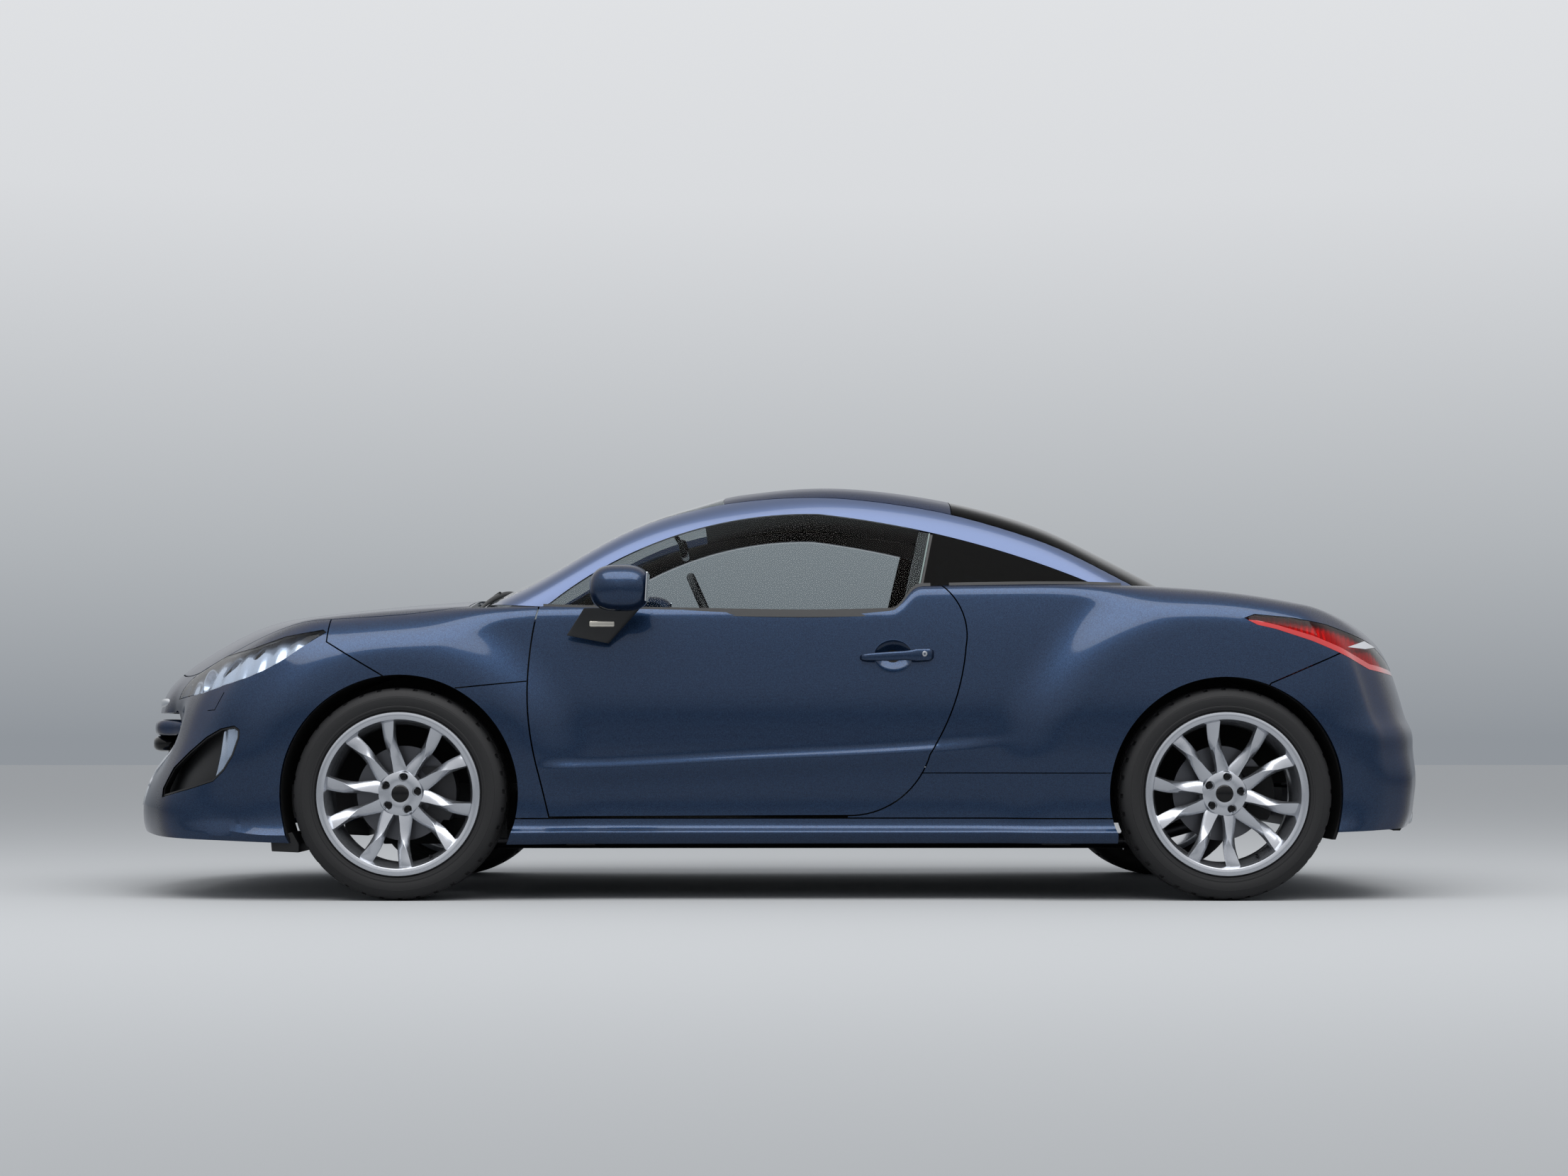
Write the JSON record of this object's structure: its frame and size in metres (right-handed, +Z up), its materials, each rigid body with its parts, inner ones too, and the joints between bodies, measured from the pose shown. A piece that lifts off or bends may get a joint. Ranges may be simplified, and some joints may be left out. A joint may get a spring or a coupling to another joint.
{
  "type": "coupe car",
  "caption": "Low two-door coupe with bright roof arches, a double-bubble roof and rear window, silver alloy wheels, opening doors, bonnet and boot lid, and steering front wheels",
  "frame": {"origin": "on the ground, at mid-length, on the car's centre plane", "axes": "+X to the tail, +Y to the car's right, +Z up"},
  "size_m": [4.2876, 2.106, 1.3528],
  "materials": {
    "paint": "metallic paint, gloss",
    "arch_silver": "brushed and lacquered",
    "roof_dark": "metallic paint, gloss",
    "glazing": "tinted, polished",
    "lamp_clear": "polished",
    "lamp_red": "polished",
    "black_plastic": "grained",
    "black_metal": "satin",
    "cast_grey": "as cast",
    "alloy": "painted silver, gloss",
    "steel": "turned",
    "tyre_rubber": "matte",
    "seat_leather": "fine grain",
    "trim_dark": "soft touch"
  },
  "bodies": {
    "body_shell": {"floor_pan": "black_metal", "front_frame": "black_metal", "engine_block": "cast_grey", "cowl_panel": "black_plastic", "front_bumper": "paint", "grille": "black_plastic", "front_fenders": "paint", "side_skirts": "paint", "quarter_panels": "paint", "roof_arches": "arch_silver", "roof_panel": "roof_dark", "windscreen": "glazing", "rear_window": "glazing", "quarter_glass": "glazing", "rear_bumper": "paint", "rear_diffuser": "black_plastic", "front_lamps": "lamp_clear", "tail_lamps": "lamp_red", "dashboard": "trim_dark", "front_seats": "seat_leather", "rear_bench": "seat_leather", "wheel_liners": "black_plastic", "rear_axle": "black_metal", "exhaust": "steel"},
    "door_left_body": {"door_left": "paint", "door_glass_left": "glazing", "mirror_left": "paint"},
    "door_right_body": {"door_right": "paint", "door_glass_right": "glazing", "mirror_right": "paint"},
    "bonnet_body": {"bonnet": "paint"},
    "boot_lid_body": {"boot_lid": "paint"},
    "steering_wheel_body": {"steering_wheel": "seat_leather"},
    "knuckle_left_body": {"knuckle_left": "cast_grey"},
    "knuckle_right_body": {"knuckle_right": "cast_grey"},
    "wheel_front_left_body": {"rim_front_left": "alloy", "tyre_front_left": "tyre_rubber", "brake_disc_front_left": "steel"},
    "wheel_front_right_body": {"rim_front_right": "alloy", "tyre_front_right": "tyre_rubber", "brake_disc_front_right": "steel"},
    "wheel_rear_left_body": {"rim_rear_left": "alloy", "tyre_rear_left": "tyre_rubber", "brake_disc_rear_left": "steel"},
    "wheel_rear_right_body": {"rim_rear_right": "alloy", "tyre_rear_right": "tyre_rubber", "brake_disc_rear_right": "steel"}
  },
  "joints": [
    {"name": "steer_left", "type": "hinge", "parent": "body_shell", "child": "knuckle_left_body", "pos_m": [-1.1865, -0.765, 0.3355], "axis": [0, 0, 1], "range_deg": [-35, 35]},
    {"name": "steer_right", "type": "hinge", "parent": "body_shell", "child": "knuckle_right_body", "pos_m": [-1.1865, 0.765, 0.3355], "axis": [0, 0, 1], "range_deg": [-35, 35]},
    {"name": "steering_wheel_turn", "type": "hinge", "parent": "body_shell", "child": "steering_wheel_body", "pos_m": [-0.213, -0.37, 0.895], "axis": [0.9135, 0, 0.4067], "range_deg": [-540, 540]},
    {"name": "door_left_hinge", "type": "hinge", "parent": "body_shell", "child": "door_left_body", "pos_m": [-0.76, -0.868, 0.6], "axis": [0, 0, -1], "range_deg": [0, 65]},
    {"name": "door_right_hinge", "type": "hinge", "parent": "body_shell", "child": "door_right_body", "pos_m": [-0.76, 0.868, 0.6], "axis": [0, 0, 1], "range_deg": [0, 65]},
    {"name": "bonnet_hinge", "type": "hinge", "parent": "body_shell", "child": "bonnet_body", "pos_m": [-1, 0, 0.985], "axis": [0, 1, 0], "range_deg": [0, 45]},
    {"name": "boot_lid_hinge", "type": "hinge", "parent": "body_shell", "child": "boot_lid_body", "pos_m": [1.312, 0, 0.996], "axis": [0, -1, 0], "range_deg": [0, 75]},
    {"name": "wheel_front_left_spin", "type": "hinge", "parent": "knuckle_left_body", "child": "wheel_front_left_body", "pos_m": [-1.1865, -0.79, 0.3355], "axis": [0, 1, 0], "continuous": true},
    {"name": "wheel_front_right_spin", "type": "hinge", "parent": "knuckle_right_body", "child": "wheel_front_right_body", "pos_m": [-1.1865, 0.79, 0.3355], "axis": [0, 1, 0], "continuous": true},
    {"name": "wheel_rear_left_spin", "type": "hinge", "parent": "body_shell", "child": "wheel_rear_left_body", "pos_m": [1.4255, -0.7965, 0.3355], "axis": [0, 1, 0], "continuous": true},
    {"name": "wheel_rear_right_spin", "type": "hinge", "parent": "body_shell", "child": "wheel_rear_right_body", "pos_m": [1.4255, 0.7965, 0.3355], "axis": [0, 1, 0], "continuous": true}
  ],
  "couplings": [
    {"joint": "steer_right", "follows": "steer_left", "ratio": 1},
    {"joint": "steering_wheel_turn", "follows": "steer_left", "ratio": 15}
  ]
}
